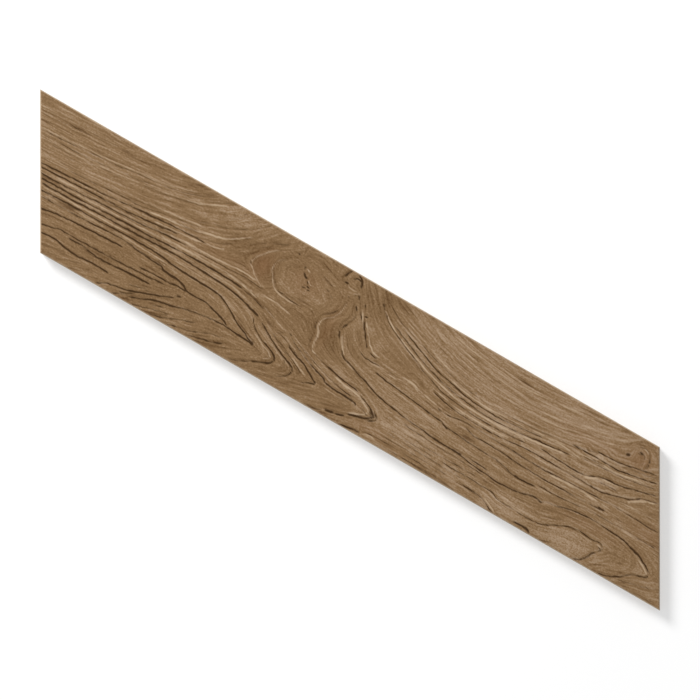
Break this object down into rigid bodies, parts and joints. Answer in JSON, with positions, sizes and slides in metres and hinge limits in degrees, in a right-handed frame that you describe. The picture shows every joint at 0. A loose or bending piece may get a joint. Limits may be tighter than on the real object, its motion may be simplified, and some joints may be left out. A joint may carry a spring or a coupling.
{
  "type": "porcelain tile",
  "caption": "Flat parallelogram floor tile of fired porcelain with mitred ends, an embossed oak-look face and a ribbed back, laid with its mirror image as a chevron.",
  "frame": {"origin": "middle of the tile's back, where the diagonals of its outline cross, at the level of the floor it lies on", "axes": "+Z out of the glazed face; +Y along the mitred ends, towards the chevron's point; +X along the chevron's rows, away from the joint of its two halves"},
  "size_m": [0.3464, 0.2914, 0.009],
  "materials": {
    "porcelain": "matt"
  },
  "bodies": {
    "root": {"tile": "porcelain"}
  },
  "joints": []
}
